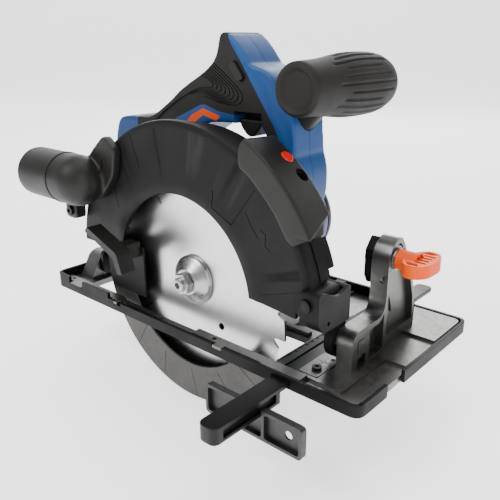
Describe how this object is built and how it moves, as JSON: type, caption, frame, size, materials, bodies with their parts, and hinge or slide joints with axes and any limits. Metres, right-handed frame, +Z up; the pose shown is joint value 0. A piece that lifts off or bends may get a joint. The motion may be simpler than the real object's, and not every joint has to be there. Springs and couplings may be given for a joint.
{
  "type": "cordless circular saw",
  "caption": "Cordless circular saw with a tilting base, swinging blade guard, depth and bevel adjustment, laser line, dust port, front handle and sliding rip fence.",
  "frame": {"origin": "on the sole, in the middle of the base's width, level with the blade's axis at rest", "axes": "+X is the cutting direction, +Y the motor side, +Z up from the sole"},
  "size_m": [0.2909, 0.25, 0.2492],
  "materials": {
    "casting": "die-cast, satin, lightly brushed",
    "black_steel": "satin black coating",
    "black_plastic": "fine moulded texture",
    "rubber": "soft overmould, matt",
    "blue_plastic": "satin moulded plastic",
    "orange_plastic": "satin moulded plastic",
    "red_plastic": "polished",
    "steel": "turned or ground",
    "dark_steel": "black oxide",
    "grey_steel": "punched sheet, satin",
    "copper": "enamelled windings",
    "lens": "polished"
  },
  "bodies": {
    "base": {"base_plate": "casting", "fence_guide": "black_plastic", "base_skirt": "black_steel", "front_pivot_pin": "dark_steel", "rear_pivot_pin": "dark_steel", "bevel_bolt": "dark_steel", "fence_clamp_plate": "steel", "fence_clamp_screw": "dark_steel"},
    "bevel_frame": {"front_bracket": "black_steel", "depth_guide": "dark_steel", "depth_pivot_screw": "dark_steel"},
    "bevel_knob": {"bevel_knob": "orange_plastic", "knob_washer": "steel"},
    "head": {"upper_guard": "black_plastic", "laser_cover": "black_plastic", "laser_lens": "lens", "dust_port": "black_plastic", "dust_port_screw": "steel", "gear_housing": "black_plastic", "motor_housing": "blue_plastic", "motor_cap": "black_plastic", "stator": "copper", "motor_bearing_front": "steel", "motor_bearing_rear": "steel", "spindle_bearing": "steel", "guard_spring": "steel", "handle_right": "blue_plastic", "handle_left": "blue_plastic", "switch_unit": "black_plastic", "battery_terminal_block": "black_plastic", "depth_stud": "steel", "aux_handle_core": "black_plastic", "aux_handle_grip": "rubber"},
    "blade_unit": {"blade": "steel", "inner_flange": "steel", "outer_flange": "steel", "arbor_bolt": "steel", "spindle": "steel", "spindle_gear": "dark_steel"},
    "rotor_unit": {"rotor": "dark_steel", "pinion": "steel", "cooling_fan": "black_plastic"},
    "lower_guard_unit": {"lower_guard": "grey_steel", "guard_lever": "black_plastic"},
    "trigger": {"trigger": "black_plastic"},
    "lock_off": {"lock_off_button": "black_plastic"},
    "depth_lever": {"depth_lever": "black_plastic"},
    "fence": {"fence_bar": "black_steel", "fence_plate": "dark_steel"},
    "laser_button": {"laser_button": "red_plastic"},
    "spindle_lock": {"spindle_lock_button": "black_plastic"}
  },
  "joints": [
    {"name": "bevel_tilt", "type": "hinge", "parent": "base", "child": "bevel_frame", "pos_m": [0, -0.0325, 0.018], "axis": [1, 0, 0], "range_deg": [0, 45]},
    {"name": "depth_swing", "type": "hinge", "parent": "bevel_frame", "child": "head", "pos_m": [0.1085, -0.0465, 0.054], "axis": [0, 1, 0], "range_deg": [0, 24]},
    {"name": "bevel_knob_turn", "type": "hinge", "parent": "base", "child": "bevel_knob", "pos_m": [0.123, 0.0075, 0.065], "axis": [1, 0, 0], "range_deg": [-90, 90]},
    {"name": "blade_spin", "type": "hinge", "parent": "head", "child": "blade_unit", "pos_m": [0, -0.0465, 0.03565], "axis": [0, 1, 0], "continuous": true},
    {"name": "rotor_spin", "type": "hinge", "parent": "head", "child": "rotor_unit", "pos_m": [0.008, -0.0465, 0.063], "axis": [0, 1, 0], "continuous": true},
    {"name": "lower_guard_swing", "type": "hinge", "parent": "head", "child": "lower_guard_unit", "pos_m": [0, -0.0465, 0.03565], "axis": [0, 1, 0], "range_deg": [0, 100], "stiffness_Nm_per_rad": 0.15, "springref_deg": -68.75},
    {"name": "trigger_press", "type": "slide", "parent": "head", "child": "trigger", "axis": [0, 0, 1], "range_m": [0, 0.005], "stiffness_N_per_m": 800, "springref_m": -0.003},
    {"name": "lock_off_press", "type": "slide", "parent": "head", "child": "lock_off", "axis": [0, 1, 0], "range_m": [0, 0.003], "stiffness_N_per_m": 500, "springref_m": -0.002},
    {"name": "depth_lever_turn", "type": "hinge", "parent": "head", "child": "depth_lever", "pos_m": [-0.062, -0.0465, 0.048], "axis": [0, 1, 0], "range_deg": [-35, 35]},
    {"name": "fence_slide", "type": "slide", "parent": "base", "child": "fence", "axis": [0, 1, 0], "range_m": [-0.12, 0.006]},
    {"name": "laser_button_press", "type": "slide", "parent": "head", "child": "laser_button", "axis": [-0.6293, 0, -0.7771], "range_m": [0, 0.0015], "stiffness_N_per_m": 400, "springref_m": -0.002},
    {"name": "spindle_lock_press", "type": "slide", "parent": "head", "child": "spindle_lock", "axis": [0, -1, 0], "range_m": [0, 0.0013], "stiffness_N_per_m": 500, "springref_m": -0.002}
  ],
  "couplings": [
    {"joint": "rotor_spin", "follows": "blade_spin", "ratio": -4}
  ]
}
